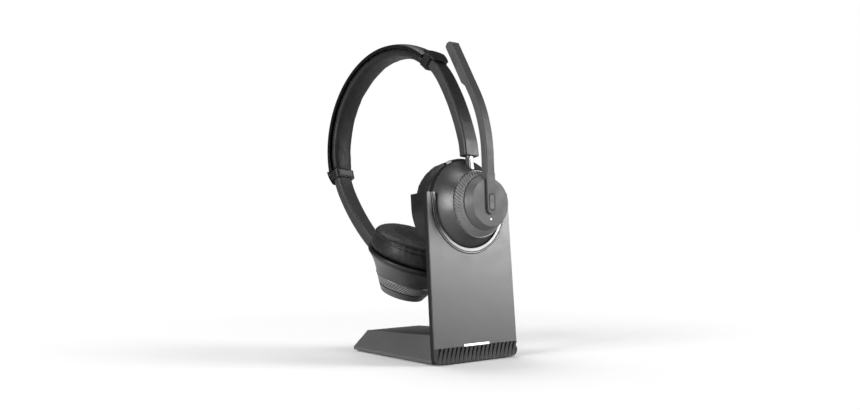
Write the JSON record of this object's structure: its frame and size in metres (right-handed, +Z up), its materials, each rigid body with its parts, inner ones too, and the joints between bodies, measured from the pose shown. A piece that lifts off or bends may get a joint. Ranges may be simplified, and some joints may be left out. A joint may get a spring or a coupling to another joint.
{
  "type": "office headset with charging stand",
  "caption": "Stereo office headset with padded headband, round ear cups and a swinging microphone boom, parked in a leaning charging stand.",
  "frame": {"origin": "middle of the rubber mat's underside, on the desk", "axes": "+Z up, -Y out of the stand's front panel, +X to the right seen from the front"},
  "size_m": [0.082, 0.193, 0.2452],
  "materials": {
    "foot_plastic": "fine-textured black plastic",
    "mat_rubber": "matt",
    "ballast_steel": "plain",
    "rear_plastic": "fine-textured black plastic",
    "panel_aluminium": "satin, bead-blasted, dark anodised",
    "skirt_plastic": "ribbed dark plastic",
    "light_lens": "frosted white light guide",
    "cradle_plastic": "satin black plastic",
    "trim_satin": "satin",
    "contact_gilt": "gilt",
    "board": "solder mask",
    "socket_steel": "plated",
    "screw_steel": "plated",
    "bell_plastic": "satin black plastic",
    "rim_plastic": "satin black plastic",
    "ear_leatherette": "soft grained leatherette, perforated over the speaker",
    "speaker_black": "matt",
    "switch_plastic": "satin",
    "ring_plastic": "diagonally knurled black plastic",
    "hub_plastic": "satin grey plastic",
    "boom_plastic": "satin grey plastic",
    "mic_mesh": "fine mesh",
    "led_lens": "clear",
    "button_plastic": "satin grey plastic",
    "stem_steel": "polished steel",
    "arm_plastic": "satin dark grey plastic",
    "cover_plastic": "satin black plastic",
    "band_plastic": "satin black plastic",
    "spring_steel": "plain",
    "band_leatherette": "soft grained leatherette",
    "collar_plastic": "satin black plastic",
    "plate_plastic": "satin grey plastic",
    "battery_wrap": "foil wrap"
  },
  "bodies": {
    "dock": {"foot_shell": "foot_plastic", "foot_base_plate": "foot_plastic", "rubber_mat": "mat_rubber", "ballast_plate": "ballast_steel", "rear_shell": "rear_plastic", "front_panel": "panel_aluminium", "ribbed_skirt": "skirt_plastic", "light_bar": "light_lens", "cradle": "cradle_plastic", "cradle_trim": "trim_satin", "contact_block": "rear_plastic", "dock_board": "board", "dock_usb_socket": "socket_steel", "foot_screws": "screw_steel", "upright_screws": "screw_steel"},
    "charge_pins": {"charge_pins": "contact_gilt"},
    "cup_right": {"bell_housing_right": "bell_plastic", "baffle_right": "rim_plastic", "baffle_screws_right": "screw_steel", "ear_cushion_right": "ear_leatherette", "speaker_right": "speaker_black", "tilt_pin_right": "screw_steel", "main_board": "board", "charge_contacts": "contact_gilt", "headset_usb_socket": "socket_steel"},
    "power_switch": {"power_switch": "switch_plastic"},
    "volume_ring": {"volume_ring": "ring_plastic"},
    "boom": {"hub_cap_right": "hub_plastic", "boom_retainer": "screw_steel", "boom_arm": "boom_plastic", "boom_mic_grille": "mic_mesh", "boom_microphones": "socket_steel", "status_led": "led_lens"},
    "mute_button": {"mute_button": "button_plastic"},
    "stem_right": {"stem_right": "stem_steel"},
    "arm_right": {"arm_right": "arm_plastic", "arm_cover_right": "cover_plastic"},
    "headband": {"headband_shell": "band_plastic", "headband_spring": "spring_steel", "headband_cushion": "band_leatherette", "collar_left": "collar_plastic", "collar_right": "collar_plastic", "collar_plate_left": "plate_plastic", "collar_plate_right": "plate_plastic"},
    "arm_left": {"arm_left": "arm_plastic", "arm_cover_left": "cover_plastic"},
    "stem_left": {"stem_left": "stem_steel"},
    "cup_left": {"bell_housing_left": "bell_plastic", "baffle_left": "rim_plastic", "baffle_screws_left": "screw_steel", "ear_cushion_left": "ear_leatherette", "speaker_left": "speaker_black", "tilt_pin_left": "screw_steel", "battery": "battery_wrap", "trim_ring_left": "ring_plastic", "hub_cap_left": "hub_plastic", "hub_retainer_left": "screw_steel"}
  },
  "joints": [
    {"name": "headset_lift", "type": "slide", "parent": "dock", "child": "cup_right", "axis": [0, 0.0837, 0.9965], "range_m": [0, 0.09]},
    {"name": "charge_pin_travel", "type": "slide", "parent": "dock", "child": "charge_pins", "axis": [0, -0.0837, -0.9965], "range_m": [0, 0.001]},
    {"name": "boom_swing", "type": "hinge", "parent": "cup_right", "child": "boom", "pos_m": [0, -0.06385, 0.11587], "axis": [0, 0.9965, -0.0837], "range_deg": [-135, 135]},
    {"name": "mute_press", "type": "slide", "parent": "boom", "child": "mute_button", "axis": [0, 0.9965, -0.0837], "range_m": [0, 0.0005]},
    {"name": "volume_turn", "type": "hinge", "parent": "cup_right", "child": "volume_ring", "pos_m": [0, -0.06385, 0.11587], "axis": [0, 0.9965, -0.0837], "range_deg": [-15, 15]},
    {"name": "power_slide", "type": "slide", "parent": "cup_right", "child": "power_switch", "axis": [-0.898, -0.0368, -0.4384], "range_m": [0, 0.003]},
    {"name": "tilt_right", "type": "hinge", "parent": "cup_right", "child": "stem_right", "pos_m": [0.00124, -0.04048, 0.13846], "axis": [0.9987, -0.0042, -0.0504], "range_deg": [0, 7]},
    {"name": "swivel_right", "type": "hinge", "parent": "stem_right", "child": "arm_right", "pos_m": [0.00124, -0.04048, 0.13846], "axis": [0.0503, 0.189, 0.9807], "range_deg": [-12, 12]},
    {"name": "extend_right", "type": "hinge", "parent": "arm_right", "child": "headband", "pos_m": [-0.00241, 0.04907, 0.16741], "axis": [0.9962, 0.0609, -0.0628], "range_deg": [0, 13]},
    {"name": "extend_left", "type": "hinge", "parent": "headband", "child": "arm_left", "pos_m": [-0.00241, 0.04907, 0.16741], "axis": [0.9962, 0.0609, -0.0628], "range_deg": [0, 12]},
    {"name": "swivel_left", "type": "hinge", "parent": "arm_left", "child": "stem_left", "pos_m": [-0.00814, 0.04588, 0.07345], "axis": [-0.026, 0.8918, 0.4516], "range_deg": [-12, 12]},
    {"name": "tilt_left", "type": "hinge", "parent": "stem_left", "child": "cup_left", "pos_m": [-0.00814, 0.04588, 0.07345], "axis": [0.9962, 0.0609, -0.0628], "range_deg": [0, 19]}
  ]
}
